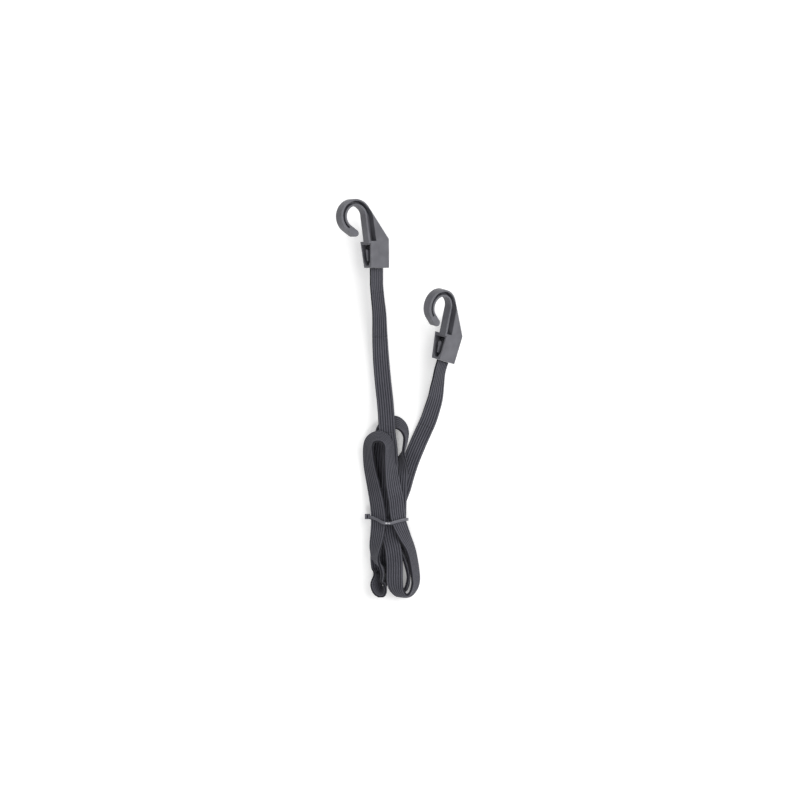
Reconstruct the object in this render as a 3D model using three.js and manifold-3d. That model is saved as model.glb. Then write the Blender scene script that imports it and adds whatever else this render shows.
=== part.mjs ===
// A flat bungee cord: a woven elastic strap with a moulded hook wedged on each end, folded into a hank
// and held by a cable tie. Millimetres, +Z up. It lies on the plane z = 0, with the hooks towards +Y.
import * as THREE from "three";
import { mergeVertices } from "three/addons/utils/BufferGeometryUtils.js";
import Module from "manifold-3d";

const wasm = await Module();
wasm.setup();

// Strap
const STRAP_WIDTH = 15;
const STRAP_THICKNESS = 2.8;
const STRAP_EDGE = 0.9;
const STRAP_STEP = 5;
const STRAP_CLEARANCE = 0.35;
const MEETING_GAP = 0.36;
const MOUTH_STRAIGHT = 9;
const NECK_LENGTH = 22;
const TWIST_LENGTH = 40;
const LEG_1_LENGTH = 150;
const LEG_2_LENGTH = 108;

// Hook moulding: x across with the bow at -x, y along with the mouth at 0, z through its depth
const SLEEVE_WIDTH = 21.6;
const SLEEVE_HEIGHT = 23.6;
const SLEEVE_FRONT = 5.3;
const SLEEVE_BACK_AT_MOUTH = 4.6;
const SLEEVE_BACK_AT_TOP = 9.6;
const SLEEVE_WALL = 1.6;
const SLEEVE_TOP_BAR = 3;
const MOUTH_LIP = 2;
const FIN_HEIGHT = 26;
const ARM_BACK = 2.2;
const BOW_CENTRE_X = -27.8;
const BOW_CENTRE_Y = 45.9;
const BOW_FLATNESS = 0.88;
const BOW_INNER_RADIUS = 10.9;
const BOW_ARM_WIDTH = 7.1;
const BOW_SWEEP = 236;
const BOW_STEPS = 20;
const TIP_LENGTH = 9;
const SHANK_FOOT_X = -13.2;
const GROOVE_DEPTH = 6.1;
const OPEN_SIDE = 1;
const GROOVE_TIP_WIDTH = 1.6;
const GROOVE_FOOT_WIDTH = 6.8;
const GROOVE_FOOT_GAP = 0.6;
const FLANGE_WIDTH = 2.2;
const OUTER_FLANGE_WIDTH = 1.4;

// Wedge in the sleeve, which the strap's end goes round
const WEDGE_POINT_HEIGHT = 6;
const DEAD_END_LENGTH = 6.5;
const WEDGE_SIDE_INSET = 0.4;

// How the hooks lie: mouth centre, lean about Z, and roll about the hook's length
const HOOK_1_MOUTH = [-20.5, 116.9];
const HOOK_1_LEAN = 0.5;
const HOOK_1_ROLL = 41;
const HOOK_2_MOUTH = [39.2, 33.3];
const HOOK_2_LEAN = -16.6;
const HOOK_2_ROLL = 50;

// Cable tie
const TIE_WIDTH = 2.6;
const TIE_THICKNESS = 1.1;
const TIE_STEPS = 40;
const TIE_CENTRE_HEIGHT = 9;
const TIE_HEAD = [3.6, 5, 4.6];
const TIE_HEAD_OUT = 1;
const TIE_HEAD_TILT = 20;

// Centre of the hank at the tie
const WAIST = [-9.7, -109.8, 0];

// Routes: [x, y, z, roll in degrees about the strap's run], 0 lying flat, with x and y from the waist
// in the hank and from the origin in the two free legs.
const LEG_1_ROUTE = [
  [-20.4, 102, 14.4, 41],
  [-19.4, 90, 14, 40],
  [-18, 76, 12.6, 36],
  [-17.4, 56, 9.6, 26],
  [-16.4, 36, 7.6, 16],
  [-14.6, 15, 7.8, 8],
  [-12.4, -6, 11.6, 2],
  [-11.4, -20, 15, 0],
];
const LEG_2_ROUTE = [
  [11, -55.8, 1.6, 180],
  [16.9, -41.4, 2, 179],
  [21.7, -30.6, 2.8, 176],
  [26.1, -20.7, 4.2, 171],
  [29.7, -9.9, 6.2, 164],
  [32.5, 0, 8.6, 154],
  [34.2, 10.8, 11.6, 142],
  [35.4, 18, 13.6, 133],
];
const MIDDLE_RUN = [
  [-0.9, 77.4, 12.3, 0],
  [0.5, 66.6, 9.3, 0],
  [1.4, 49.5, 9.2, 0],
  [1, 25.2, 9.6, 0],
  [0, 0, 10.1, 0],
  [1.8, -15.3, 11.6, 0],
  [4, -25.2, 15.7, 0],
  [5.2, -34.2, 17.6, 0],
  [5.6, -42.3, 18, 0],
];
const RIGHT_RUN = [
  [21.8, -34.2, 9.6, -61],
  [19, -24.3, 11.2, -56],
  [14.8, -15.3, 13, -44],
  [8.9, 0, 13.5, -27],
  [6.6, 18, 14.6, -24],
  [4, 31.5, 16.2, -30],
  [1.9, 45, 18, -44],
  [0.4, 56, 19, -56],
];
const LEFT_RUN = [
  [-17, 49.5, 9.9, -48],
  [-13.1, 29.7, 11.3, -40],
  [-10.2, 14.4, 12.9, -33],
  [-8.9, 0, 13.4, -27],
  [-9.9, -13.5, 14.2, -34],
  [-10.9, -20, 14.8, -40],
  [-11.6, -27, 15.6, -52],
  [-10.6, -36, 17, -74],
  [-5.2, -45, 16.6, -104],
];
const BACK_LEFT_RUN = [
  [-8.6, -51, 7.2, -50],
  [-8, -44.5, 4.6, -16],
  [-8.7, -37, 5.5, -2],
  [-8.8, -28, 6.5, 0],
  [-8.6, -18, 6.3, 0],
  [-7.5, 0, 6.6, 0],
  [-7.7, 18, 5.4, 0],
  [-7.7, 40.5, 2.8, 0],
  [-7.2, 58.5, 2, 0],
];
const BACK_RIGHT_RUN = [
  [13.4, 61, 8.3, 92],
  [11.8, 52, 7.3, 132],
  [10.6, 44.1, 5.4, 165],
  [9.5, 33.3, 5.4, 180],
  [8.9, 18, 6, 180],
  [8.7, 0, 6.6, 180],
  [9.8, -14.4, 6.2, 190],
  [12.4, -23.4, 7.2, 226],
  [15, -33, 7.8, 253],
];
const LOWEST_RUN = [
  [5.2, -41.4, 7.6, 248],
  [3.2, -32.4, 5.5, 214],
  [0.9, -24.3, 3.3, 188],
  [0.8, -16.2, 2.9, 180],
  [1.8, 0, 3.3, 180],
  [7.7, 15.3, 2, 180],
  [12.6, 27.9, 1.6, 180],
  [16.2, 40.5, 1.6, 180],
];

// Loops of the hank: centre, half width, reach, first and last angle, then height and roll at the
// start, middle and end
const OUTER_LOOP = { x: 15, y: -53.6, half: 9.4, reach: 14.6, from: 180, to: 360, steps: 6,
  height: [19, 13.4, 8.4], roll: [-4, -84, -64] };
const FRONT_LOOP = { x: -8.9, y: 65.5, half: 9, reach: 9.5, from: 0, to: 180, steps: 6,
  height: [19.6, 21, 14], roll: [-60, -54, -56] };
const LEFT_LOOP = { x: -6.7, y: -58, half: 4.1, reach: 7.4, from: 40, to: -180, steps: 8,
  height: [10.4, 7.8, 7.8], roll: [-118, -59, -47] };
const BACK_LOOP = { x: 5.2, y: 73.8, half: 10.4, reach: 13.6, from: 180, to: 0, steps: 6,
  height: [2.6, 5.3, 8.1], roll: [6, 34, 80] };
const INNER_LOOP = { x: 12.7, y: -50.5, half: 5.4, reach: 14, from: 0, to: -180, steps: 6,
  height: [7.8, 7.8, 7.8], roll: [266, 264, 258] };

// Band of the tie round the bundle, from the head over the top and back underneath
const TIE_ROUTE = [
  [-17.9, 3, 11.2],
  [-14.6, 2.2, 14],
  [-9, -0.3, 17.2],
  [-4, -2.6, 19.7],
  [-1, -3.1, 20.6],
  [3, -2.8, 20.5],
  [6, -1.8, 19],
  [11, -0.6, 16],
  [16.8, 0.4, 12.4],
  [18.3, 0.6, 8.8],
  [17.1, 0.2, 4.4],
  [13, -0.2, 1.6],
  [9, -0.6, 0.75],
  [0, -0.6, 0.65],
  [-6, -0.2, 0.9],
  [-14.4, 1, 3.4],
  [-17.6, 2.4, 6.4],
];

const radians = THREE.MathUtils.degToRad;
const up = new THREE.Vector3(0, 0, 1);

function finish(color, roughness) {
  return new THREE.MeshStandardMaterial({ color, roughness, metalness: 0 });
}

function solidOf(geometry) {
  const plain = geometry.clone();
  plain.deleteAttribute("normal");
  plain.deleteAttribute("uv");
  const merged = mergeVertices(plain, 1e-4);
  const vertProperties = new Float32Array(merged.attributes.position.array);
  const triVerts = new Uint32Array(merged.index.array);
  return new wasm.Manifold(new wasm.Mesh({ numProp: 3, vertProperties, triVerts }));
}

function geometryOf(solid) {
  const mesh = solid.getMesh();
  const geometry = new THREE.BufferGeometry();
  geometry.setAttribute("position", new THREE.BufferAttribute(new Float32Array(mesh.vertProperties), 3));
  geometry.setIndex(new THREE.BufferAttribute(new Uint32Array(mesh.triVerts), 1));
  return geometry;
}

function prism(points, depth) {
  const shape = new THREE.Shape(points.map(([x, y]) => new THREE.Vector2(x, y)));
  return new THREE.ExtrudeGeometry(shape, { depth, bevelEnabled: false });
}

// A prism whose outline is drawn in (y, z) and which runs across x, centred on x = 0
function crossPrism(points, width) {
  const geometry = prism(points.map(([y, z]) => [-z, y]), width);
  geometry.rotateY(Math.PI / 2);
  geometry.translate(-width / 2, 0, 0);
  return geometry;
}

function arc(centreX, centreY, radius, from, to, steps) {
  return Array.from({ length: steps + 1 }, (_, i) => {
    const angle = radians(from + ((to - from) * i) / steps);
    return [centreX + radius * Math.cos(angle), centreY + radius * Math.sin(angle)];
  });
}

// Hook moulding

const SLEEVE_HALF = SLEEVE_WIDTH / 2;
const BOW_OUTER_RADIUS = BOW_INNER_RADIUS + BOW_ARM_WIDTH;
const SHANK_FOOT_Y = SLEEVE_HEIGHT - SLEEVE_WALL;

// The bow is a little wider than it is high
function flatten([x, y]) {
  return [x, BOW_CENTRE_Y + (y - BOW_CENTRE_Y) * BOW_FLATNESS];
}

// The angle at which the fin's straight edge runs into the outside of the bow
function finAngle() {
  const x = SLEEVE_HALF - BOW_CENTRE_X;
  const y = (FIN_HEIGHT - BOW_CENTRE_Y) / BOW_FLATNESS;
  const spread = Math.acos(BOW_OUTER_RADIUS / Math.hypot(x, y));
  return THREE.MathUtils.radToDeg(Math.atan2(y, x) + spread);
}

function tipCentre() {
  const end = radians(BOW_SWEEP);
  const middle = BOW_INNER_RADIUS + BOW_ARM_WIDTH / 2;
  return [
    BOW_CENTRE_X + middle * Math.cos(end) - TIP_LENGTH * Math.sin(end),
    BOW_CENTRE_Y + middle * Math.sin(end) + TIP_LENGTH * Math.cos(end),
  ];
}

function hookOutline() {
  const [tipX, tipY] = tipCentre();
  return [
    [SLEEVE_HALF, SHANK_FOOT_Y],
    [SLEEVE_HALF, FIN_HEIGHT],
    ...arc(BOW_CENTRE_X, BOW_CENTRE_Y, BOW_OUTER_RADIUS, finAngle(), BOW_SWEEP, BOW_STEPS).map(flatten),
    ...arc(tipX, tipY, BOW_ARM_WIDTH / 2, BOW_SWEEP, BOW_SWEEP + 180, 6).map(flatten),
    ...arc(BOW_CENTRE_X, BOW_CENTRE_Y, BOW_INNER_RADIUS, BOW_SWEEP, 0, BOW_STEPS).map(flatten),
    [SHANK_FOOT_X, SHANK_FOOT_Y],
  ];
}

// The channel sunk in the arm, narrow at the tip and wide where it ends above the sleeve
function grooveOutline() {
  const inner = BOW_INNER_RADIUS + FLANGE_WIDTH;
  const bowWidth = BOW_ARM_WIDTH - FLANGE_WIDTH - OUTER_FLANGE_WIDTH;
  const crown = finAngle();
  const outerSide = Array.from({ length: BOW_STEPS + 1 }, (_, i) => {
    const angle = (BOW_SWEEP * i) / BOW_STEPS;
    const rise = Math.min(1, angle / crown);
    const run = Math.max(0, (angle - crown) / (BOW_SWEEP - crown));
    const foot = GROOVE_FOOT_WIDTH + (bowWidth - GROOVE_FOOT_WIDTH) * rise;
    const width = foot + (GROOVE_TIP_WIDTH - bowWidth) * run;
    return flatten(arc(BOW_CENTRE_X, BOW_CENTRE_Y, inner + width, angle, angle, 1)[0]);
  });
  const footY = SLEEVE_HEIGHT + GROOVE_FOOT_GAP;
  const footX = SHANK_FOOT_X + FLANGE_WIDTH;
  return [
    [footX, footY],
    [footX + GROOVE_FOOT_WIDTH, footY],
    ...outerSide,
    ...arc(BOW_CENTRE_X, BOW_CENTRE_Y, inner, BOW_SWEEP, 0, BOW_STEPS).map(flatten),
  ];
}

function sleeveBack(y) {
  return SLEEVE_BACK_AT_MOUTH + ((SLEEVE_BACK_AT_TOP - SLEEVE_BACK_AT_MOUTH) * y) / SLEEVE_HEIGHT;
}

const MOUTH_HALF = STRAP_THICKNESS / 2 + STRAP_CLEARANCE;
const CAVITY_TOP = SLEEVE_HEIGHT - SLEEVE_TOP_BAR;
const CAVITY_FRONT = SLEEVE_FRONT - SLEEVE_WALL;
const LIP_TOP = MOUTH_LIP * 3;

function cavityProfile(bottom) {
  return [
    [bottom, MOUTH_HALF],
    [bottom, -MOUTH_HALF],
    [LIP_TOP, SLEEVE_WALL - sleeveBack(LIP_TOP)],
    [CAVITY_TOP, SLEEVE_WALL - sleeveBack(CAVITY_TOP)],
    [CAVITY_TOP, CAVITY_FRONT],
    [LIP_TOP, CAVITY_FRONT],
    [MOUTH_LIP, MOUTH_HALF],
  ].reverse();
}

function hookMoulding() {
  const plate = prism(hookOutline(), SLEEVE_FRONT + ARM_BACK);
  plate.translate(0, 0, -ARM_BACK);
  const groove = prism(grooveOutline(), GROOVE_DEPTH + OPEN_SIDE);
  groove.translate(0, 0, SLEEVE_FRONT - GROOVE_DEPTH);
  const sleeve = crossPrism([
    [0, -SLEEVE_BACK_AT_MOUTH],
    [SLEEVE_HEIGHT, -SLEEVE_BACK_AT_TOP],
    [SLEEVE_HEIGHT, SLEEVE_FRONT],
    [0, SLEEVE_FRONT],
  ], SLEEVE_WIDTH);
  const cavity = crossPrism(cavityProfile(0), STRAP_WIDTH + 2 * STRAP_CLEARANCE);
  const sideWindow = crossPrism(cavityProfile(MOUTH_LIP), SLEEVE_HALF);
  sideWindow.translate(-SLEEVE_HALF / 2, 0, 0);
  const arm = solidOf(plate).subtract(solidOf(groove));
  return geometryOf(arm.add(solidOf(sleeve)).subtract(solidOf(cavity)).subtract(solidOf(sideWindow)));
}

// Strap end and wedge inside the sleeve, drawn in (y, z)

const HALF_THICKNESS = STRAP_THICKNESS / 2;
const FRONT_CHANNEL = CAVITY_FRONT - STRAP_CLEARANCE - HALF_THICKNESS;

function backChannel(y) {
  return SLEEVE_WALL + STRAP_CLEARANCE + HALF_THICKNESS - sleeveBack(y);
}

function bendOfStrap() {
  const outer = (y) => (FRONT_CHANNEL - backChannel(y)) / 2 + HALF_THICKNESS;
  const y = CAVITY_TOP - STRAP_CLEARANCE - outer(CAVITY_TOP);
  return { y, z: (FRONT_CHANNEL + backChannel(y)) / 2, radius: (FRONT_CHANNEL - backChannel(y)) / 2 };
}

function strapEnd() {
  const bend = bendOfStrap();
  const side = (offset) => [
    [MEETING_GAP / 2, -offset],
    [MOUTH_LIP, -offset],
    [LIP_TOP, backChannel(LIP_TOP) - offset],
    ...arc(bend.z, bend.y, bend.radius + offset, 180, 0, 8).map(([z, y]) => [y, z]),
    [bend.y - DEAD_END_LENGTH, FRONT_CHANNEL + offset],
  ];
  const outline = [...side(HALF_THICKNESS), ...side(-HALF_THICKNESS).reverse()];
  return crossPrism(outline, STRAP_WIDTH);
}

function wedge() {
  const bend = bendOfStrap();
  const clear = HALF_THICKNESS + STRAP_CLEARANCE;
  const radius = bend.radius - clear;
  const outline = [
    [WEDGE_POINT_HEIGHT, FRONT_CHANNEL - clear],
    [WEDGE_POINT_HEIGHT, backChannel(WEDGE_POINT_HEIGHT) + clear],
    ...arc(bend.z, bend.y, radius, 180, 0, 8).map(([z, y]) => [y, z]),
  ];
  const reach = SLEEVE_HALF - WEDGE_SIDE_INSET - STRAP_WIDTH / 2;
  return crossPrism(outline, STRAP_WIDTH + reach).translate(-reach / 2, 0, 0);
}

// Strap along a route

function loop(turn) {
  return Array.from({ length: turn.steps + 1 }, (_, i) => {
    const share = i / turn.steps;
    const angle = radians(turn.from + (turn.to - turn.from) * share);
    const blend = ([start, middle, end]) => (share < 0.5
      ? start + (middle - start) * 2 * share
      : middle + (end - middle) * (2 * share - 1));
    return [
      turn.x + turn.half * Math.cos(angle),
      turn.y + turn.reach * Math.sin(angle),
      blend(turn.height),
      blend(turn.roll),
    ];
  });
}

// A ring of the strap at a length along its route: centre, direction of the run, and the strap's own
// width and face directions
function strapRing(strap, along) {
  const share = Math.min(1, along / strap.length);
  const at = Math.min(1, strap.line.getUtoTmapping(share));
  const run = strap.line.getTangent(at);
  const left = up.clone().cross(run).normalize();
  const over = run.clone().cross(left);
  const turn = radians(strap.roll.getPoint(at).y);
  const face = over.clone().multiplyScalar(Math.cos(turn)).addScaledVector(left, Math.sin(turn));
  const width = left.clone().multiplyScalar(Math.cos(turn)).addScaledVector(over, -Math.sin(turn));
  return { centre: strap.line.getPoint(at), run, face, width, along };
}

function strapAlong(route) {
  const centres = route.map(([x, y, z]) => new THREE.Vector3(x, y, z));
  const rolls = route.map((point, i) => new THREE.Vector3(i, point[3], 0));
  const line = new THREE.CatmullRomCurve3(centres, false, "centripetal");
  const roll = new THREE.CatmullRomCurve3(rolls, false, "catmullrom", 0.5);
  line.arcLengthDivisions = 40 * route.length;
  return { line, roll, length: line.getLength() };
}

function ringsBetween(strap, from, to, step) {
  const count = Math.ceil((to - from) / step);
  return Array.from({ length: count + 1 }, (_, i) => strapRing(strap, from + ((to - from) * i) / count));
}

function sectionOf(ring) {
  const half = STRAP_WIDTH / 2;
  const flat = half - STRAP_EDGE;
  const corners = [[half, 0], [flat, 1], [-flat, 1], [-half, 0], [-flat, -1], [flat, -1]];
  return corners.map(([across, through]) => ring.centre.clone()
    .addScaledVector(ring.width, across)
    .addScaledVector(ring.face, through * HALF_THICKNESS));
}

// A closed skin over a list of rings of points, with flat ends unless it closes on itself
function skin(sections, closed) {
  const sides = sections[0].length;
  const positions = sections.flat().flatMap((point) => point.toArray());
  const index = [];
  const spans = closed ? sections.length : sections.length - 1;
  for (let i = 0; i < spans; i += 1) {
    for (let j = 0; j < sides; j += 1) {
      const a = i * sides + j;
      const b = i * sides + ((j + 1) % sides);
      const c = ((i + 1) % sections.length) * sides + ((j + 1) % sides);
      const d = ((i + 1) % sections.length) * sides + j;
      index.push(a, b, c, a, c, d);
    }
  }
  if (!closed) {
    const last = (sections.length - 1) * sides;
    for (let j = 1; j < sides - 1; j += 1) {
      index.push(0, j + 1, j);
      index.push(last, last + j, last + j + 1);
    }
  }
  const geometry = new THREE.BufferGeometry();
  geometry.setAttribute("position", new THREE.Float32BufferAttribute(positions, 3));
  geometry.setIndex(index);
  return geometry;
}

function strapSkin(rings) {
  return skin(rings.map(sectionOf), false);
}

// The least gap between two stretches of one strap that lie apart along it, measured on points
function leastGap(rings) {
  const half = STRAP_WIDTH / 2;
  const reach = STRAP_WIDTH;
  let least = Infinity;
  for (const ring of rings) {
    for (const point of sectionOf(ring)) {
      for (const other of rings) {
        const away = point.clone().sub(other.centre);
        if (Math.abs(ring.along - other.along) < reach || away.length() > reach) {
          continue;
        }
        const past = Math.abs(away.dot(other.run)) - STRAP_STEP / 4;
        const beside = Math.abs(away.dot(other.width)) - half;
        const above = Math.abs(away.dot(other.face)) - HALF_THICKNESS;
        least = Math.min(least, Math.hypot(...[past, beside, above].map((gap) => Math.max(0, gap))));
      }
    }
  }
  return least;
}

// Places and the assembled object

// The hook rests on the upper back corner of its sleeve
function hookFrame(mouth, lean, roll) {
  const rest = SLEEVE_HALF * Math.sin(radians(roll)) + SLEEVE_BACK_AT_TOP * Math.cos(radians(roll));
  const frame = new THREE.Group();
  frame.rotation.order = "ZYX";
  frame.rotation.set(0, radians(roll), radians(lean));
  frame.position.set(mouth[0], mouth[1], rest);
  frame.updateMatrixWorld(true);
  return frame;
}

function mesh(name, geometry, material) {
  const piece = new THREE.Mesh(geometry, material);
  piece.name = name;
  return piece;
}

// The straight stretch of strap that leaves a hook's mouth, as two points of the route
function mouthPoints(frame, roll) {
  return [-MEETING_GAP / 2, -MOUTH_STRAIGHT].map((y) => {
    const point = frame.localToWorld(new THREE.Vector3(0, y, 0));
    return [point.x, point.y, point.z, roll];
  });
}

const fromWaist = ([x, y, z, roll]) => [x + WAIST[0], y + WAIST[1], z + WAIST[2], roll];

const hook1 = hookFrame(HOOK_1_MOUTH, HOOK_1_LEAN, HOOK_1_ROLL);
const hook2 = hookFrame(HOOK_2_MOUTH, HOOK_2_LEAN, HOOK_2_ROLL);

const hankRoute = [
  ...MIDDLE_RUN,
  ...loop(OUTER_LOOP),
  ...RIGHT_RUN,
  ...loop(FRONT_LOOP),
  ...LEFT_RUN,
  ...loop(LEFT_LOOP),
  ...BACK_LEFT_RUN,
  ...loop(BACK_LOOP),
  ...BACK_RIGHT_RUN,
  ...loop(INNER_LOOP),
  ...LOWEST_RUN,
].map(fromWaist);

const strap = strapAlong([
  ...mouthPoints(hook1, HOOK_1_ROLL),
  ...LEG_1_ROUTE,
  ...hankRoute,
  ...LEG_2_ROUTE,
  ...mouthPoints(hook2, 180 - HOOK_2_ROLL).reverse(),
]);

// The strap cut square into the neck at each hook, the stretch that twists, the leg and the hank
function strapPieces() {
  const cuts = [
    ["strap_neck_1", NECK_LENGTH],
    ["strap_twist_1", NECK_LENGTH + TWIST_LENGTH],
    ["strap_leg_1", LEG_1_LENGTH],
    ["strap_hank", strap.length - LEG_2_LENGTH],
    ["strap_leg_2", strap.length - NECK_LENGTH - TWIST_LENGTH],
    ["strap_twist_2", strap.length - NECK_LENGTH],
    ["strap_neck_2", strap.length],
  ];
  return cuts.map(([name, to], i) => {
    const from = i === 0 ? 0 : cuts[i - 1][1] + MEETING_GAP / 2;
    const end = i === cuts.length - 1 ? to : to - MEETING_GAP / 2;
    return mesh(name, strapSkin(ringsBetween(strap, from, end, STRAP_STEP)), webbing());
  });
}

// Cable tie: a closed band and the head it is pulled through, one moulding

function tieBand() {
  const line = new THREE.CatmullRomCurve3(
    TIE_ROUTE.map(([x, y, z]) => new THREE.Vector3(x, y, z)), true, "centripetal");
  const inside = new THREE.Vector3(0, 0, TIE_CENTRE_HEIGHT);
  const sections = Array.from({ length: TIE_STEPS }, (_, i) => {
    const centre = line.getPointAt(i / TIE_STEPS);
    const run = line.getTangentAt(i / TIE_STEPS);
    const across = centre.clone().sub(inside).cross(run).normalize();
    const out = run.clone().cross(across);
    return [[1, 1], [-1, 1], [-1, -1], [1, -1]].map(([side, face]) => centre.clone()
      .addScaledVector(across, (side * TIE_WIDTH) / 2)
      .addScaledVector(out, (face * TIE_THICKNESS) / 2));
  });
  return skin(sections, true);
}

function cableTie() {
  const [x, y, z] = TIE_ROUTE[0];
  const head = new THREE.BoxGeometry(...TIE_HEAD);
  head.rotateY(radians(-TIE_HEAD_TILT));
  head.translate(x - TIE_HEAD_OUT, y, z);
  const tie = solidOf(tieBand()).add(solidOf(head));
  return geometryOf(tie).translate(...WAIST);
}

const plastic = () => finish(0x2c2c2f, 0.5);
const webbing = () => finish(0x29292c, 0.9);
const nylon = () => finish(0x323236, 0.45);

const bungee = new THREE.Group();
for (const [number, frame] of [[1, hook1], [2, hook2]]) {
  frame.add(mesh(`hook_${number}`, hookMoulding(), plastic()));
  frame.add(mesh(`wedge_${number}`, wedge(), plastic()));
  frame.add(mesh(`strap_end_${number}`, strapEnd(), webbing()));
  bungee.add(frame);
}
bungee.add(...strapPieces());
bungee.add(mesh("cable_tie", cableTie(), nylon()));

// The origin is under the middle of the whole object
const box = new THREE.Box3().setFromObject(bungee, true);
const centre = box.getCenter(new THREE.Vector3());
bungee.position.set(-centre.x, -centre.y, -box.min.z);

const gap = leastGap(ringsBetween(strap, 0, strap.length, STRAP_STEP / 2));
console.log(`strap ${strap.length.toFixed(0)} mm long, least gap to itself ${gap.toFixed(2)} mm`);

export default bungee;
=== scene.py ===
"""A flat bungee cord: a woven elastic strap with a hook wedged on each end, folded and tied."""
import math

import bmesh
import bpy
import numpy as np
from mathutils import Matrix, Vector


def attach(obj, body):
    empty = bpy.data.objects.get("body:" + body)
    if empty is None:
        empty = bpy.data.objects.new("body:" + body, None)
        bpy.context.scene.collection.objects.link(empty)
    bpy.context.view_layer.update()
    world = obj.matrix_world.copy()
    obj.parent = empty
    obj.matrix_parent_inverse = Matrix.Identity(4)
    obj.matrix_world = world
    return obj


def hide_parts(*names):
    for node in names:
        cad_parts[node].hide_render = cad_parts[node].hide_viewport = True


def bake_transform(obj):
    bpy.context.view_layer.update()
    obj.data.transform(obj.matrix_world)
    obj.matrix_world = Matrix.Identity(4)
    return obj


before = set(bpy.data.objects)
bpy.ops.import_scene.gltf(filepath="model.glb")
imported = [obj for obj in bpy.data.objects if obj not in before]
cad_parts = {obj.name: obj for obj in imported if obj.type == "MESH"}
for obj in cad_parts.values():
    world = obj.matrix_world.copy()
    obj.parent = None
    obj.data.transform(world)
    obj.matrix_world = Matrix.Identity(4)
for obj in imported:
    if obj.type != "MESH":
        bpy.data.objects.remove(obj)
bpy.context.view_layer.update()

# Camera. The cord lies on a table and is seen from straight above, so the lens is long and far away.
# The picture is 720 mm wide at the height of the strap.
VIEW_WIDTH = 0.720
VIEW_PLANE = 0.012
VIEW_CENTRE = (0.0006, -0.0011)
lens = bpy.data.cameras.new("overhead_lens")
lens.lens = 400
lens.sensor_width = 36
camera = bpy.data.objects.new("overhead_camera", lens)
camera.location = (*VIEW_CENTRE, VIEW_PLANE + VIEW_WIDTH * lens.lens / lens.sensor_width)
bpy.context.scene.collection.objects.link(camera)
bpy.context.scene.camera = camera
bpy.context.scene.view_settings.view_transform = "Standard"

# Strap. One length of flat elastic: a row of rubber strands with black polyester yarn woven round
# them, so both faces are ribbed along their length. It runs from hook 1 through the hank to hook 2.
MM = 0.001
STRAP_HALF_WIDTH = 7.5 * MM
STRAP_HALF_THICKNESS = 1.4 * MM
RUBBER_STRANDS = 7
STRAND_POINTS = 6
STRAND_PITCH = 2 * STRAP_HALF_WIDTH / RUBBER_STRANDS
STRAND_ROUNDNESS = 0.75
VALLEY_DEPTH = 0.3
EDGE_SHARE = 0.14
EDGE_THINNING = 0.9
# Where the route's own zero lies in the frame, and the waist of the hank in the route, in millimetres.
ORIGIN = np.array([-0.1436, 0.8614, 0.0669])
WAIST = np.array([-9.7, -109.8, 0.0])

# Each point is x, y, z in millimetres and the strap's roll in degrees about its own run, 0 lying flat.
LEG_1_ROUTE = [
    (-20.498, 116.72, 14.331, 41), (-20.422, 107.9, 14.331, 41), (-20.4, 102, 14.4, 41),
    (-19.4, 90, 14, 40), (-18, 76, 12.6, 36), (-17.4, 56, 9.6, 26), (-16.4, 36, 7.6, 16),
    (-14.6, 15, 7.8, 8), (-12.4, -6, 11.6, 2), (-11.4, -20, 15, 0),
]
LEG_2_ROUTE = [
    (11, -55.8, 1.6, 180), (16.9, -41.4, 2, 179), (21.7, -30.6, 2.8, 176), (26.1, -20.7, 4.2, 171),
    (29.7, -9.9, 6.2, 164), (32.5, 0, 8.6, 154), (34.2, 10.8, 11.6, 142), (35.4, 18, 13.6, 133),
    (36.629, 24.675, 14.444, 130), (39.149, 33.128, 14.444, 130),
]
MIDDLE_RUN = [
    (-0.9, 77.4, 12.3, 0), (0.5, 66.6, 9.3, 0), (1.4, 49.5, 9.2, 0), (1, 25.2, 9.6, 0), (0, 0, 10.1, 0),
    (1.8, -15.3, 11.6, 0), (4, -25.2, 15.7, 0), (5.2, -34.2, 17.6, 0), (5.6, -42.3, 18, 0),
]
RIGHT_RUN = [
    (21.8, -34.2, 9.6, -61), (19, -24.3, 11.2, -56), (14.8, -15.3, 13, -44), (8.9, 0, 13.5, -27),
    (6.6, 18, 14.6, -24), (4, 31.5, 16.2, -30), (1.9, 45, 18, -44), (0.4, 56, 19, -56),
]
LEFT_RUN = [
    (-17, 49.5, 9.9, -48), (-13.1, 29.7, 11.3, -40), (-10.2, 14.4, 12.9, -33), (-8.9, 0, 13.4, -27),
    (-9.9, -13.5, 14.2, -34), (-10.9, -20, 14.8, -40), (-11.6, -27, 15.6, -52), (-10.6, -36, 17, -74),
    (-5.2, -45, 16.6, -104),
]
BACK_LEFT_RUN = [
    (-8.6, -51, 7.2, -50), (-8, -44.5, 4.6, -16), (-8.7, -37, 5.5, -2), (-8.8, -28, 6.5, 0),
    (-8.6, -18, 6.3, 0), (-7.5, 0, 6.6, 0), (-7.7, 18, 5.4, 0), (-7.7, 40.5, 2.8, 0), (-7.2, 58.5, 2, 0),
]
BACK_RIGHT_RUN = [
    (13.4, 61, 8.3, 92), (11.8, 52, 7.3, 132), (10.6, 44.1, 5.4, 165), (9.5, 33.3, 5.4, 180),
    (8.9, 18, 6, 180), (8.7, 0, 6.6, 180), (9.8, -14.4, 6.2, 190), (12.4, -23.4, 7.2, 226),
    (15, -33, 7.8, 253),
]
LOWEST_RUN = [
    (5.2, -41.4, 7.6, 248), (3.2, -32.4, 5.5, 214), (0.9, -24.3, 3.3, 188), (0.8, -16.2, 2.9, 180),
    (1.8, 0, 3.3, 180), (7.7, 15.3, 2, 180), (12.6, 27.9, 1.6, 180), (16.2, 40.5, 1.6, 180),
]


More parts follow.
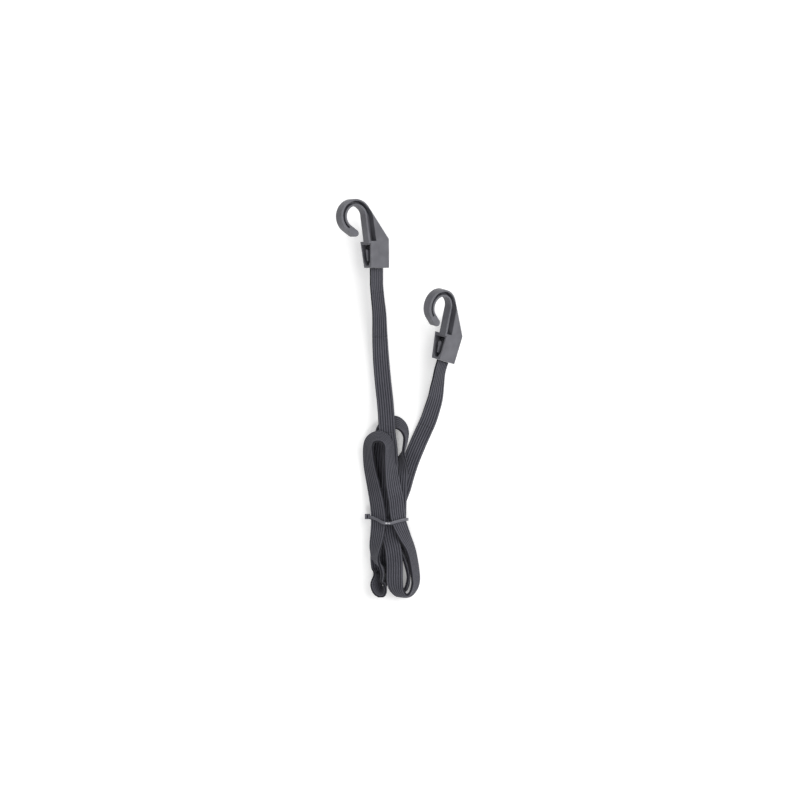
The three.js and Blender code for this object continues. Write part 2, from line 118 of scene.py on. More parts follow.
def hank_loop(x, y, half, reach, first, last, steps, heights, rolls):
    """One turn of the hank round a centre, an arc of an oval from its first to its last angle.

    The heights and the rolls are those at its start, its middle and its end.
    """
    share = np.linspace(0, 1, steps + 1)
    angle = np.radians(first + (last - first) * share)
    stations = (0, 0.5, 1)
    return list(zip(x + half * np.cos(angle), y + reach * np.sin(angle),
                    np.interp(share, stations, heights), np.interp(share, stations, rolls)))


hank_route = [
    *MIDDLE_RUN,
    *hank_loop(15, -53.6, 9.4, 14.6, 180, 360, 6, (19, 13.4, 8.4), (-4, -84, -64)),
    *RIGHT_RUN,
    *hank_loop(-8.9, 65.5, 9, 9.5, 0, 180, 6, (19.6, 21, 14), (-60, -54, -56)),
    *LEFT_RUN,
    *hank_loop(-6.7, -58, 4.1, 7.4, 40, -180, 8, (10.4, 7.8, 7.8), (-118, -59, -47)),
    *BACK_LEFT_RUN,
    *hank_loop(5.2, 73.8, 10.4, 13.6, 180, 0, 6, (2.6, 5.3, 8.1), (6, 34, 80)),
    *BACK_RIGHT_RUN,
    *hank_loop(12.7, -50.5, 5.4, 14, 0, -180, 6, (7.8, 7.8, 7.8), (266, 264, 258)),
    *LOWEST_RUN,
]
strap_route = np.array(LEG_1_ROUTE + [(x + WAIST[0], y + WAIST[1], z, roll) for x, y, z, roll in hank_route]
                       + LEG_2_ROUTE)
strap_route[:, :3] = (strap_route[:, :3] + ORIGIN) * MM


def smooth_line(route, between=60):
    """A centripetal Catmull-Rom line through the points, with the rolls eased along it."""
    points, rolls = route[:, :3], route[:, 3]
    points = np.vstack([2 * points[0] - points[1], points, 2 * points[-1] - points[-2]])
    rolls = np.concatenate([[2 * rolls[0] - rolls[1]], rolls, [2 * rolls[-1] - rolls[-2]]])
    line, turn = [], []
    for i in range(1, len(points) - 2):
        p0, p1, p2, p3 = points[i - 1:i + 3]
        d0, d1, d2 = (math.sqrt(np.linalg.norm(b - a)) for a, b in ((p0, p1), (p1, p2), (p2, p3)))
        out = ((p1 - p0) / d0 - (p2 - p0) / (d0 + d1) + (p2 - p1) / d1) * d1
        into = ((p2 - p1) / d1 - (p3 - p1) / (d1 + d2) + (p3 - p2) / d2) * d1
        r0, r1, r2, r3 = rolls[i - 1:i + 3]
        for t in np.arange(between) / between:
            a, b = 2 * t ** 3 - 3 * t ** 2 + 1, t ** 3 - 2 * t ** 2 + t
            c, d = 3 * t ** 2 - 2 * t ** 3, t ** 3 - t ** 2
            line.append(a * p1 + b * out + c * p2 + d * into)
            turn.append(a * r1 + b * (r2 - r0) / 2 + c * r2 + d * (r3 - r1) / 2)
    return np.vstack([line, route[-1, :3]]), np.append(turn, route[-1, 3])


strap_line, strap_turn = smooth_line(strap_route)
strap_distance = np.concatenate([[0], np.cumsum(np.linalg.norm(np.diff(strap_line, axis=0), axis=1))])
STRAP_LENGTH = strap_distance[-1]


def unit_rows(vectors):
    """The same vectors, each one unit long."""
    return vectors / np.linalg.norm(vectors, axis=1, keepdims=True)


def strap_points(along):
    """Points of the strap's middle line at distances along it."""
    return np.column_stack([np.interp(along, strap_distance, strap_line[:, i]) for i in range(3)])


def strap_rings(start, end, step):
    """Centres, width directions, face directions and distances along the strap from start to end."""
    along = np.linspace(start, end, max(2, math.ceil((end - start) / step) + 1))
    reach = 0.2 * MM
    before, after = np.maximum(along - reach, 0), np.minimum(along + reach, STRAP_LENGTH)
    run = unit_rows(strap_points(after) - strap_points(before))
    left = unit_rows(np.cross((0, 0, 1), run))
    over = np.cross(run, left)
    turn = np.radians(np.interp(along, strap_distance, strap_turn))[:, None]
    face = np.cos(turn) * over + np.sin(turn) * left
    width = np.cos(turn) * left - np.sin(turn) * over
    return strap_points(along), width, face, along


def strap_section():
    """Across and through positions round the strap: strands side by side, thinner at both edges."""
    across = np.linspace(-1, 1, RUBBER_STRANDS * STRAND_POINTS + 1)
    strand = np.abs(np.sin(np.pi * (across + 1) / 2 * RUBBER_STRANDS)) ** STRAND_ROUNDNESS
    through = 1 - VALLEY_DEPTH * (1 - strand)
    edge = np.clip((np.abs(across) - 1 + EDGE_SHARE) / EDGE_SHARE, 0, 1)
    through = through * np.sqrt(1 - EDGE_THINNING * edge ** 2)
    across, through = across * STRAP_HALF_WIDTH, through * STRAP_HALF_THICKNESS
    return np.concatenate([across, across[::-1]]), np.concatenate([through, -through[::-1]])


def woven_strap(name, centres, width, face, along):
    """A closed length of strap over its rings, with a UV map in millimetres: across and along it."""
    across, through = strap_section()
    sides = len(across)
    rings = (centres[:, None] + across[None, :, None] * width[:, None]
             + through[None, :, None] * face[:, None])
    mesh = bpy.data.meshes.new(name)
    first = np.arange(len(centres) - 1)[:, None] * sides + np.arange(sides)[None]
    second = np.arange(len(centres) - 1)[:, None] * sides + (np.arange(sides)[None] + 1) % sides
    faces = np.stack([first, second, second + sides, first + sides], axis=-1).reshape(-1, 4)
    last = (len(centres) - 1) * sides
    ends = [list(range(sides))[::-1], list(range(last, last + sides))]
    mesh.from_pydata(rings.reshape(-1, 3).tolist(), [], faces.tolist() + ends)
    turned = np.tile(across, len(centres)) / MM
    distance = np.repeat(along, sides) / MM
    layer = mesh.uv_layers.new(name="weave")
    corners = np.empty(len(mesh.loops), dtype=np.int32)
    mesh.loops.foreach_get("vertex_index", corners)
    layer.data.foreach_set("uv", np.column_stack([turned[corners], distance[corners]]).ravel())
    mesh.polygons.foreach_set("use_smooth", [True] * len(faces) + [False] * len(ends))
    mesh.update()
    piece = bpy.data.objects.new(name, mesh)
    bpy.context.scene.collection.objects.link(piece)
    return piece


def linear(hex_colour):
    """An sRGB hex colour as linear red, green, blue and alpha."""
    parts = [int(hex_colour[i:i + 2], 16) / 255 for i in (1, 3, 5)]
    return [c / 12.92 if c <= 0.04045 else ((c + 0.055) / 1.055) ** 2.4 for c in parts] + [1.0]


def add_node(tree, kind, inputs=None, **settings):
    """A node with its settings, and its inputs set to values or linked from other nodes' sockets."""
    node = tree.nodes.new(kind)
    for key, value in settings.items():
        setattr(node, key, value)
    for key, value in (inputs or {}).items():
        if isinstance(value, bpy.types.NodeSocket):
            tree.links.new(value, node.inputs[key])
        else:
            node.inputs[key].default_value = value
    return node


def new_material(name):
    """An empty material and its Principled shader, already linked to the output."""
    material = bpy.data.materials.new(name)
    material.use_nodes = True
    tree = material.node_tree
    tree.nodes.clear()
    shader = add_node(tree, "ShaderNodeBsdfPrincipled")
    add_node(tree, "ShaderNodeOutputMaterial", {"Surface": shader.outputs["BSDF"]})
    return material, tree, shader


def woven_polyester():
    """Black polyester yarn woven over rubber: dull, slightly furry, in small vees along each strand."""
    material, tree, shader = new_material("woven_polyester")
    uv = add_node(tree, "ShaderNodeUVMap", uv_map="weave")
    place = add_node(tree, "ShaderNodeSeparateXYZ", {0: uv.outputs["UV"]})
    strands = add_node(tree, "ShaderNodeMath", {0: place.outputs["X"], 1: MM / STRAND_PITCH},
                       operation="MULTIPLY")
    half_strand = add_node(tree, "ShaderNodeMath", {0: strands.outputs[0], 1: 0.5}, operation="ADD")
    across = add_node(tree, "ShaderNodeMath", {0: half_strand.outputs[0]}, operation="FRACT")
    centred = add_node(tree, "ShaderNodeMath", {0: across.outputs[0], 1: 0.5}, operation="SUBTRACT")
    slope = add_node(tree, "ShaderNodeMath", {0: centred.outputs[0]}, operation="ABSOLUTE")
    # One yarn crosses every 1.1 mm, coarser than the real 0.6 mm so that it shows.
    yarn_spacing = 1.1
    yarns = add_node(tree, "ShaderNodeMath", {0: place.outputs["Y"], 1: 1 / yarn_spacing},
                     operation="MULTIPLY")
    vees = add_node(tree, "ShaderNodeMath", {0: yarns.outputs[0], 1: slope.outputs[0]}, operation="ADD")
    wave = add_node(tree, "ShaderNodeMath", {0: vees.outputs[0], 1: math.pi}, operation="MULTIPLY")
    yarn = add_node(tree, "ShaderNodeMath", {0: wave.outputs[0]}, operation="SINE")
    crest = add_node(tree, "ShaderNodeMath", {0: yarn.outputs[0]}, operation="ABSOLUTE")
    spot = add_node(tree, "ShaderNodeTexCoord")
    # Loose fibres gather about every 1.1 mm, and the yarn is a little paler in patches of about 17 mm.
    fibre_size, patch_size = 1.11 * MM, 16.7 * MM
    fibre_share, patch_share = 0.3, 0.35
    fuzz = add_node(tree, "ShaderNodeTexNoise", {"Vector": spot.outputs["Object"], "Detail": 3.0,
                                                 "Scale": 1 / fibre_size})
    patches = add_node(tree, "ShaderNodeTexNoise", {"Vector": spot.outputs["Object"], "Detail": 2.0,
                                                    "Scale": 1 / patch_size})
    weave = add_node(tree, "ShaderNodeMix", {0: fibre_share, 2: crest.outputs[0], 3: fuzz.outputs["Fac"]})
    shade = add_node(tree, "ShaderNodeMix", {0: patch_share, 2: weave.outputs[0],
                                             3: patches.outputs["Fac"]})
    # Painted shade and highlight: the yarn's colour follows its height, darker in the gaps between yarns
    # and paler on the crests. The fibre noise and the paler patches are the yarn's own tone.
    ramp = add_node(tree, "ShaderNodeValToRGB", {"Fac": shade.outputs[0]})
    for stop, position, yarn_colour in zip(ramp.color_ramp.elements, (0.2, 0.8), ("#33333b", "#5d5d65")):
        stop.position = position
        stop.color = linear(yarn_colour)
    # The yarn between two strands lies deep and gets no light.
    valley = add_node(tree, "ShaderNodeMapRange", {"Value": slope.outputs[0], "From Min": 0.15,
                                                   "From Max": 0.48})
    colour = add_node(tree, "ShaderNodeMix", {0: valley.outputs["Result"], 6: ramp.outputs["Color"],
                                              7: linear("#0d0d16")}, data_type="RGBA")
    bump = add_node(tree, "ShaderNodeBump", {"Height": weave.outputs[0], "Strength": 0.5,
                                             "Distance": 0.25 * MM})
    tree.links.new(colour.outputs[2], shader.inputs["Base Color"])
    tree.links.new(bump.outputs["Normal"], shader.inputs["Normal"])
    shader.inputs["Roughness"].default_value = 0.85
    shader.inputs["IOR"].default_value = 1.5
    shader.inputs["Specular IOR Level"].default_value = 0.3
    shader.inputs["Sheen Weight"].default_value = 0.15
    shader.inputs["Sheen Roughness"].default_value = 0.5
    return material


polyester = woven_polyester()
NECK = 22 * MM
TWIST_END = 62 * MM
LEG_1_END = 150 * MM
LEG_2_END = 108 * MM
STEP = 1.5 * MM
lengths = {
    "neck_1": (0, NECK), "twist_1": (NECK, TWIST_END), "leg_1": (TWIST_END, LEG_1_END),
    "hank": (LEG_1_END, STRAP_LENGTH - LEG_2_END),
    "leg_2": (STRAP_LENGTH - LEG_2_END, STRAP_LENGTH - TWIST_END),
    "twist_2": (STRAP_LENGTH - TWIST_END, STRAP_LENGTH - NECK),
    "neck_2": (STRAP_LENGTH - NECK, STRAP_LENGTH),
}
crossed = {"leg": ("hank", "strap"), "twist": ("strap", "neck"), "neck": ("neck", "hook")}
for part, (start, end) in lengths.items():
    rings = strap_rings(start, end, STEP)
    piece = woven_strap(f"elastic_{part}", *rings)
    piece.data.materials.append(polyester)
    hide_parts(f"strap_{part}")
    if part == "hank":
        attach(piece, "hank")
        continue
    kind, number = part.split("_")
    near, far = crossed[kind]
    near = near if near == "hank" else f"{near}_{number}"
    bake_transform(piece)

# Hooks. Each is one injection moulding in black nylon: a bow with a deep channel in its front, a fin
# that stiffens its shank, and a flat sleeve that narrows to the mouth the strap comes out of. Its sizes
# are in millimetres in its own frame, with y up from the middle of the mouth and z towards the front.
CLEARANCE = 0.35
STRAP_HALF = STRAP_HALF_THICKNESS / MM
SLEEVE_HALF = 10.8
SLEEVE_HEIGHT = 23.6
SLEEVE_FRONT = 5.3
SLEEVE_BACK_AT_MOUTH = 4.6
SLEEVE_BACK_AT_TOP = 9.6
SLEEVE_WALL = 1.6
CAVITY_TOP = 20.6
CAVITY_HALF = STRAP_HALF_WIDTH / MM + CLEARANCE
MOUTH_HALF = STRAP_HALF + CLEARANCE
MOUTH_LIP = 2.0
LIP_TOP = 6.0
FIN_HEIGHT = 26.0
ARM_BACK = 2.2
BOW_CENTRE = (-27.8, 45.9)
BOW_FLATNESS = 0.88
BOW_INNER = 10.9
BOW_ARM = 7.1
BOW_SWEEP = 236.0
BOW_STEPS = 56
TIP_LENGTH = 9.0
TIP_STEPS = 16
SHANK_FOOT = (-13.2, 22.0)
GROOVE_DEPTH = 6.1
GROOVE_FOOT_GAP = 0.6
GROOVE_RIM = 2.2
GROOVE_AT_FOOT = 6.8
GROOVE_AT_CROWN = 3.5
GROOVE_AT_TIP = 1.6
EDGE_ROUNDING = 0.5
PAST_THE_FACE = 1.0
# Each hook's mouth in the route's millimetres, its lean on the table and its roll, in degrees.
HOOK_PLACES = {1: ((-20.5, 116.9, 14.3306), 0.5, 41.0), 2: ((39.2, 33.3, 14.444), -16.6, 50.0)}


def arc(centre, radius, first, last, steps):
    """Points round a centre from the first angle to the last, in degrees."""
    angle = np.radians(np.linspace(first, last, steps + 1))
    return [(centre[0] + radius * math.cos(a), centre[1] + radius * math.sin(a)) for a in angle]


def flattened(points):
    """Points of the bow, which is a little wider than it is high."""
    return [(x, BOW_CENTRE[1] + (y - BOW_CENTRE[1]) * BOW_FLATNESS) for x, y in points]


def fin_angle():
    """Where the fin's straight edge runs into the outside of the bow, in degrees."""
    x, y = SLEEVE_HALF - BOW_CENTRE[0], (FIN_HEIGHT - BOW_CENTRE[1]) / BOW_FLATNESS
    return math.degrees(math.atan2(y, x) + math.acos((BOW_INNER + BOW_ARM) / math.hypot(x, y)))


def hook_outline():
    """The arm and fin from the front: up the fin, round the outside, the tip and back inside."""
    end, middle = math.radians(BOW_SWEEP), BOW_INNER + BOW_ARM / 2
    tip = (BOW_CENTRE[0] + middle * math.cos(end) - TIP_LENGTH * math.sin(end),
           BOW_CENTRE[1] + middle * math.sin(end) + TIP_LENGTH * math.cos(end))
    return [(SLEEVE_HALF, SHANK_FOOT[1]), (SLEEVE_HALF, FIN_HEIGHT),
            *flattened(arc(BOW_CENTRE, BOW_INNER + BOW_ARM, fin_angle(), BOW_SWEEP, BOW_STEPS)),
            *flattened(arc(tip, BOW_ARM / 2, BOW_SWEEP, BOW_SWEEP + 180, TIP_STEPS)),
            *flattened(arc(BOW_CENTRE, BOW_INNER, BOW_SWEEP, 0, BOW_STEPS)), SHANK_FOOT]


def groove_outline():
    """The channel in the arm, widest at its foot and narrowest at the tip, inside a rim."""
    inner = BOW_INNER + GROOVE_RIM
    stations = (0, fin_angle(), BOW_SWEEP)
    widths = (GROOVE_AT_FOOT, GROOVE_AT_CROWN, GROOVE_AT_TIP)
    outer = []
    for angle in np.linspace(0, BOW_SWEEP, BOW_STEPS + 1):
        outer += arc(BOW_CENTRE, inner + np.interp(angle, stations, widths), angle, angle, 0)
    foot_x, foot_y = SHANK_FOOT[0] + GROOVE_RIM, SLEEVE_HEIGHT + GROOVE_FOOT_GAP
    return [(foot_x, foot_y), (foot_x + GROOVE_AT_FOOT, foot_y),
            *flattened(outer + arc(BOW_CENTRE, inner, BOW_SWEEP, 0, BOW_STEPS))]


def sleeve_back(y):
    """How far the sleeve's back stands behind its middle, at a height above the mouth."""
    return np.interp(y, (0, SLEEVE_HEIGHT), (SLEEVE_BACK_AT_MOUTH, SLEEVE_BACK_AT_TOP))


def cavity_profile(bottom):
    """The hollow of the sleeve in y and z: a slot at the mouth that widens behind a lip."""
    return [(bottom, MOUTH_HALF), (bottom, -MOUTH_HALF), (LIP_TOP, SLEEVE_WALL - sleeve_back(LIP_TOP)),
            (CAVITY_TOP, SLEEVE_WALL - sleeve_back(CAVITY_TOP)), (CAVITY_TOP, SLEEVE_FRONT - SLEEVE_WALL),
            (LIP_TOP, SLEEVE_FRONT - SLEEVE_WALL), (MOUTH_LIP, MOUTH_HALF)]


def slab(name, outline, low, high, across=False):
    """A prism on an outline in x and y, or across the hook on an outline in y and z, in millimetres."""
    mesh = bpy.data.meshes.new(name)
    count = len(outline)
    spot = (lambda a, b, c: (c, a, b)) if across else (lambda a, b, c: (a, b, c))
    points = [spot(a, b, level) for level in (low, high) for a, b in outline]
    sides = [(i, (i + 1) % count, (i + 1) % count + count, i + count) for i in range(count)]
    caps = [range(count), range(count, 2 * count)]
    mesh.from_pydata([[c * MM for c in p] for p in points], [], caps + sides)
    shape = bmesh.new()
    shape.from_mesh(mesh)
    bmesh.ops.recalc_face_normals(shape, faces=shape.faces)
    shape.to_mesh(mesh)
    shape.free()
    piece = bpy.data.objects.new(name, mesh)
    bpy.context.scene.collection.objects.link(piece)
    return piece


def cut(piece, tools, operation):
    """Joins the tools to the piece or takes them out of it, and removes them."""
    for tool in tools:
        change = piece.modifiers.new("cut", "BOOLEAN")
        change.operation, change.solver, change.object = operation, "EXACT", tool
    shaped = bpy.data.meshes.new_from_object(piece.evaluated_get(bpy.context.evaluated_depsgraph_get()))
    piece.modifiers.clear()
    piece.data = shaped
    for tool in tools:
        bpy.data.objects.remove(tool)


def round_edges(piece, radius, segments=3):
    """Eases every sharp edge as a mould does, and keeps the flats flat in the shading."""
    same_point, same_plane, sharp = 0.01 * MM, math.radians(1), math.radians(32)
    shape = bmesh.new()
    shape.from_mesh(piece.data)
    bmesh.ops.remove_doubles(shape, verts=shape.verts, dist=same_point)
    bmesh.ops.dissolve_limit(shape, angle_limit=same_plane, verts=shape.verts, edges=shape.edges)
    shape.to_mesh(piece.data)
    shape.free()
    piece.data.polygons.foreach_set("use_smooth", [True] * len(piece.data.polygons))
    bevel = piece.modifiers.new("mould_radius", "BEVEL")
    bevel.width, bevel.segments = radius * MM, segments
    bevel.limit_method, bevel.angle_limit = "ANGLE", sharp
    bevel.harden_normals = True
    bevel.miter_outer = "MITER_ARC"


def hook_place(number):
    """Where a hook lies, as the matrix that takes it from its own frame to the table."""
    (x, y, z), lean, roll = HOOK_PLACES[number]
    place = Vector((x, y, z)) + Vector(ORIGIN)
    return (Matrix.Translation(place * MM) @ Matrix.Rotation(math.radians(lean), 4, "Z")
            @ Matrix.Rotation(math.radians(roll), 4, "Y"))


def moulded_nylon(name, dark, pale, roughness, grain_strength):
    """Black nylon straight from the mould: a satin skin, fine sparked grain and a few paler scuffs."""
    material, tree, shader = new_material(name)
    spot = add_node(tree, "ShaderNodeTexCoord")
    # The spark-eroded grain is about 0.4 mm, and the marks of the flow in the mould about 11 mm.
    grain_size, flow_size = 0.4 * MM, 11.1 * MM
    grain = add_node(tree, "ShaderNodeTexNoise", {"Vector": spot.outputs["Object"], "Detail": 2.0,
                                                  "Scale": 1 / grain_size})
    flow = add_node(tree, "ShaderNodeTexNoise", {"Vector": spot.outputs["Object"], "Detail": 4.0,
                                                 "Scale": 1 / flow_size})
    ramp = add_node(tree, "ShaderNodeValToRGB", {"Fac": flow.outputs["Fac"]})
    for stop, position, nylon_colour in zip(ramp.color_ramp.elements, (0.35, 0.7), (dark, pale)):
        stop.position = position
        stop.color = linear(nylon_colour)
    dull = add_node(tree, "ShaderNodeMapRange", {"Value": flow.outputs["Fac"], "To Min": roughness - 0.06,
                                                 "To Max": roughness + 0.08})
    bump = add_node(tree, "ShaderNodeBump", {"Height": grain.outputs["Fac"], "Strength": grain_strength,
                                             "Distance": 0.05 * MM})
    tree.links.new(ramp.outputs["Color"], shader.inputs["Base Color"])
    tree.links.new(dull.outputs["Result"], shader.inputs["Roughness"])
    tree.links.new(bump.outputs["Normal"], shader.inputs["Normal"])
    shader.inputs["IOR"].default_value = 1.53
    return material


hook_nylon = moulded_nylon("moulded_nylon", "#515157", "#616167", roughness=0.5, grain_strength=0.25)
for number in HOOK_PLACES:
    hook = slab(f"moulded_hook_{number}", hook_outline(), -ARM_BACK, SLEEVE_FRONT)
    groove = slab("groove", groove_outline(), SLEEVE_FRONT - GROOVE_DEPTH, SLEEVE_FRONT + PAST_THE_FACE)
    cut(hook, [groove], "DIFFERENCE")
    sleeve = [(0, -SLEEVE_BACK_AT_MOUTH), (SLEEVE_HEIGHT, -SLEEVE_BACK_AT_TOP),
              (SLEEVE_HEIGHT, SLEEVE_FRONT), (0, SLEEVE_FRONT)]
    cut(hook, [slab("sleeve", sleeve, -SLEEVE_HALF, SLEEVE_HALF, across=True)], "UNION")
    cavity = slab("cavity", cavity_profile(-PAST_THE_FACE), -CAVITY_HALF, CAVITY_HALF, across=True)
    window = slab("side_window", cavity_profile(MOUTH_LIP), -SLEEVE_HALF - PAST_THE_FACE, 0, across=True)
    cut(hook, [cavity, window], "DIFFERENCE")
    round_edges(hook, EDGE_ROUNDING)
    hook.data.transform(hook_place(number))
    hook.data.materials.append(hook_nylon)
    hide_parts(f"hook_{number}")
    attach(hook, f"hook_{number}")

# Strap ends and wedges. Inside each sleeve the strap goes round a small nylon wedge and back towards
# the mouth, so that a pull on the strap draws both tighter into the taper.
FRONT_CHANNEL = SLEEVE_FRONT - SLEEVE_WALL - CLEARANCE - STRAP_HALF
MEETING_GAP = 0.36
DEAD_END = 6.5
BEND_STEPS = 14
WEDGE_FOOT = 6.0
WEDGE_INSET = 0.4
WEDGE_HALF = STRAP_HALF_WIDTH / MM
WEDGE_ROUNDING = 0.25


def back_channel(y):
    """Where the middle of the strap runs along the sleeve's back, at a height above the mouth."""
    return SLEEVE_WALL + CLEARANCE + STRAP_HALF - sleeve_back(y)


bend_y = CAVITY_TOP - CLEARANCE - STRAP_HALF - (FRONT_CHANNEL - back_channel(CAVITY_TOP)) / 2
bend_z = (FRONT_CHANNEL + back_channel(bend_y)) / 2
bend_radius = (FRONT_CHANNEL - back_channel(bend_y)) / 2


def strap_end_rings():
    """Rings of the strap's end in the hook's own frame, from the mouth round the wedge."""
    line = [(MEETING_GAP / 2, 0), (MOUTH_LIP / 2, 0), (MOUTH_LIP, 0), (LIP_TOP, back_channel(LIP_TOP))]
    line += [(y, z) for z, y in arc((bend_z, bend_y), bend_radius, 180, 0, BEND_STEPS)]
    line += [(bend_y - DEAD_END, FRONT_CHANNEL)]
    line = np.array([(0, y, z) for y, z in line]) * MM
    run = unit_rows(np.gradient(line, axis=0))
    width = np.tile((1.0, 0, 0), (len(line), 1))
    face = np.cross(run, width)
    along = np.concatenate([[0], np.cumsum(np.linalg.norm(np.diff(line, axis=0), axis=1))])
    return line, width, face, along


def wedge_profile():
    """The wedge in y and z: a flat foot, and a round top that the strap goes over."""
    grip = STRAP_HALF + CLEARANCE
    foot = [(WEDGE_FOOT, FRONT_CHANNEL - grip), (WEDGE_FOOT, back_channel(WEDGE_FOOT) + grip)]
    return foot + [(y, z) for z, y in arc((bend_z, bend_y), bend_radius - grip, 180, 0, BEND_STEPS)]


for number in HOOK_PLACES:
    end = woven_strap(f"elastic_end_{number}", *strap_end_rings())
    end.data.transform(hook_place(number))
    end.data.materials.append(polyester)
    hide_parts(f"strap_end_{number}")
    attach(end, f"hook_{number}")
    wedge = slab(f"moulded_wedge_{number}", wedge_profile(), WEDGE_INSET - SLEEVE_HALF, WEDGE_HALF,
                 across=True)
    round_edges(wedge, WEDGE_ROUNDING)
    wedge.data.transform(hook_place(number))
    wedge.data.materials.append(hook_nylon)
    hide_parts(f"wedge_{number}")
    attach(wedge, f"hook_{number}")

# Cable tie. A thin black nylon band pulled through the ratchet in its own head, with the spare tail
# cut off close to the head. It is drawn tight round the waist of the hank.
TIE_HALF_WIDTH = 1.3
TIE_HALF_THICKNESS = 0.55
TIE_CORNER = 0.3
TIE_CORNER_STEPS = 3
TIE_STEPS = 12
TIE_CENTRE = (0, 0, 9.0)
HEAD_HALF_DEPTH = 1.8
HEAD_HALF_LENGTH = 2.5
HEAD_HALF_HEIGHT = 2.3
HEAD_ROUNDING = 0.4
HEAD_OUT = 1.0
HEAD_TILT = 20.0
SLOT_HALF_LENGTH = 1.5
SLOT_HALF_HEIGHT = 3.0
SLOT_FACES = (-0.1, 1.2)
# The middle line of the band, in millimetres from the waist of the hank.
TIE_ROUTE = [
    (-17.9, 3, 11.2), (-14.6, 2.2, 14), (-9, -0.3, 17.2), (-4.9, -2.5, 20.1), (-1.2, -3.1, 20.6),
    (2.6, -2.9, 20.7), (6.2, -1.8, 19), (11, -0.6, 16), (16.5, 0.4, 12.6), (17.7, 0.6, 8.8), (17, 0.2, 4.6),
    (13, -0.2, 1.6), (9, -0.6, 0.75), (0, -0.6, 0.65), (-6, -0.2, 0.9), (-14.4, 1, 3.4), (-17.6, 2.4, 6.4),
]


def tie_band():
    """The closed band: a flat section with rounded corners along a smooth ring."""
    route = np.array([(*point, 0) for point in TIE_ROUTE], dtype=float)
    lead, tail = 3, 4
    wrapped = np.vstack([route[-lead:], route, route[:tail]])
    line = smooth_line(wrapped, TIE_STEPS)[0][lead * TIE_STEPS:(lead + len(route)) * TIE_STEPS]
    run = unit_rows(np.roll(line, -1, axis=0) - np.roll(line, 1, axis=0))
    side = unit_rows(np.cross(line - TIE_CENTRE, run))
    out = np.cross(run, side)
    section = []
    for sx, sz, first in ((1, 1, 0), (-1, 1, 90), (-1, -1, 180), (1, -1, 270)):
        centre = (sx * (TIE_HALF_WIDTH - TIE_CORNER), sz * (TIE_HALF_THICKNESS - TIE_CORNER))
        section += arc(centre, TIE_CORNER, first, first + 90, TIE_CORNER_STEPS)
    section = np.array(section)
    rings = line[:, None] + section[None, :, :1] * side[:, None] + section[None, :, 1:] * out[:, None]
    count, sides = len(line), len(section)
    faces = [(i * sides + j, i * sides + (j + 1) % sides, (i + 1) % count * sides + (j + 1) % sides,
              (i + 1) % count * sides + j) for i in range(count) for j in range(sides)]
    mesh = bpy.data.meshes.new("cable_tie_band")
    mesh.from_pydata(((rings.reshape(-1, 3) + WAIST + ORIGIN) * MM).tolist(), [], faces)
    mesh.polygons.foreach_set("use_smooth", [True] * len(faces))
    band = bpy.data.objects.new("cable_tie_band", mesh)
    bpy.context.scene.collection.objects.link(band)
    return band


def block(name, half_length, half_height, low, high):
    """A plain block about the head's middle, from its low to its high face in x."""
    corners = [(-half_length, -half_height), (half_length, -half_height),
               (half_length, half_height), (-half_length, half_height)]
    return slab(name, corners, low, high, across=True)


tie_nylon = moulded_nylon("cable_tie_nylon", "#595960", "#66666d", roughness=0.16, grain_strength=0.04)
band = tie_band()
band.data.materials.append(tie_nylon)
head = block("cable_tie_head", HEAD_HALF_LENGTH, HEAD_HALF_HEIGHT, -HEAD_HALF_DEPTH, HEAD_HALF_DEPTH)
cut(head, [block("ratchet_slot", SLOT_HALF_LENGTH, SLOT_HALF_HEIGHT, *SLOT_FACES)], "DIFFERENCE")
round_edges(head, HEAD_ROUNDING)
head_place = Vector(TIE_ROUTE[0]) + Vector((-HEAD_OUT, 0, 0)) + Vector(WAIST) + Vector(ORIGIN)
head.matrix_world = (Matrix.Translation(head_place * MM)
                     @ Matrix.Rotation(math.radians(-HEAD_TILT), 4, "Y"))
head.data.materials.append(tie_nylon)
for piece in (band, head):
    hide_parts("cable_tie")
    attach(piece, "hank")

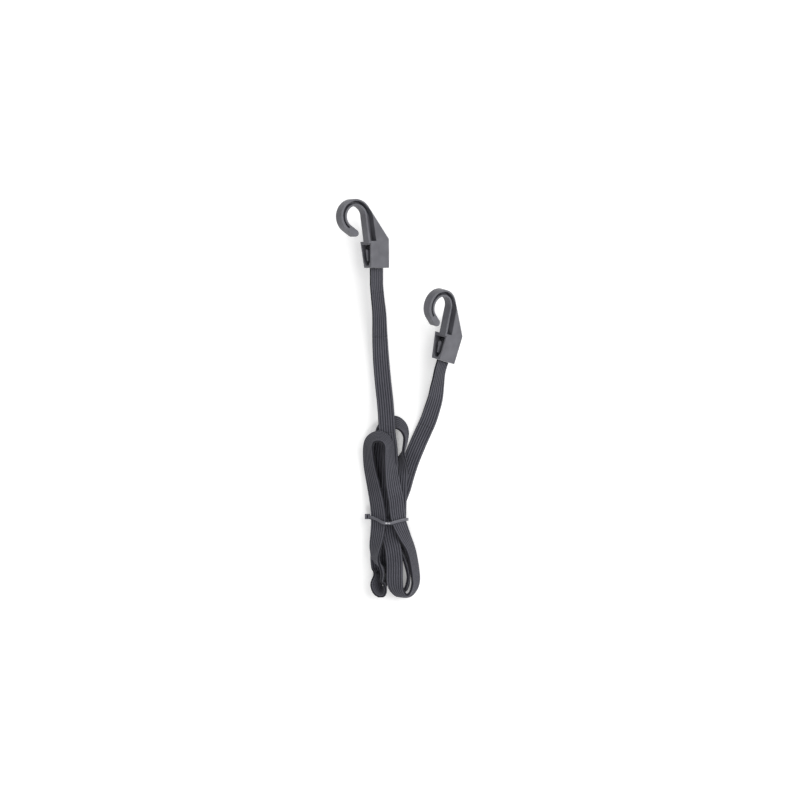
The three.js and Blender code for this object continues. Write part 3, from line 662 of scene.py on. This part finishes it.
# Table and light. A plain white table top under one wide soft light on the right and an even room, so
# the shadows fall faintly to the left.
TABLE_HALF = 3.0
TABLE_DROP = 0.2 * MM
TABLE_LIFT = 0.27
ROOM_STRENGTH = 0.55
floor_mesh = bpy.data.meshes.new("table_top")
floor_corners = [(x * TABLE_HALF, y * TABLE_HALF, 0) for x, y in ((-1, -1), (1, -1), (1, 1), (-1, 1))]
floor_mesh.from_pydata(floor_corners, [], [(0, 1, 2, 3)])
floor = bpy.data.objects.new("table_top", floor_mesh)
floor.location.z = -TABLE_DROP
bpy.context.scene.collection.objects.link(floor)
table, table_tree, table_shader = new_material("white_table")
table_shader.inputs["Base Color"].default_value = linear("#f6f6f6")
table_shader.inputs["Roughness"].default_value = 0.9
table_shader.inputs["Specular IOR Level"].default_value = 0.1
# Where it is seen, straight or in a reflection, the table is lifted to a paler white.
ray = add_node(table_tree, "ShaderNodeLightPath")
seen = ray.outputs["Is Camera Ray"]
for other in ("Is Glossy Ray", "Is Transmission Ray"):
    either = add_node(table_tree, "ShaderNodeMath", {0: seen, 1: ray.outputs[other]}, operation="MAXIMUM")
    seen = either.outputs[0]
lift = add_node(table_tree, "ShaderNodeMath", {0: seen, 1: TABLE_LIFT}, operation="MULTIPLY")
table_shader.inputs["Emission Color"].default_value = linear("#ffffff")
table_tree.links.new(lift.outputs[0], table_shader.inputs["Emission Strength"])
floor_mesh.materials.append(table)


def soft_box(name, place, size, watts):
    """A round area lamp that faces the middle of the table."""
    lamp = bpy.data.lights.new(name, "AREA")
    lamp.shape, lamp.size, lamp.energy = "DISK", size, watts
    light = bpy.data.objects.new(name, lamp)
    light.location = place
    light.rotation_euler = (-Vector(place)).to_track_quat("-Z", "Y").to_euler()
    bpy.context.scene.collection.objects.link(light)


soft_box("key_right", place=(1.35, 0.6, 1.6), size=2.4, watts=36)
soft_box("lamp_above", place=(-0.16, -0.84, 1.38), size=0.34, watts=5)
world = bpy.data.worlds.new("white_room")
world.use_nodes = True
room = world.node_tree.nodes["Background"]
room.inputs["Color"].default_value = linear("#ffffff")
room.inputs["Strength"].default_value = ROOM_STRENGTH
bpy.context.scene.world = world
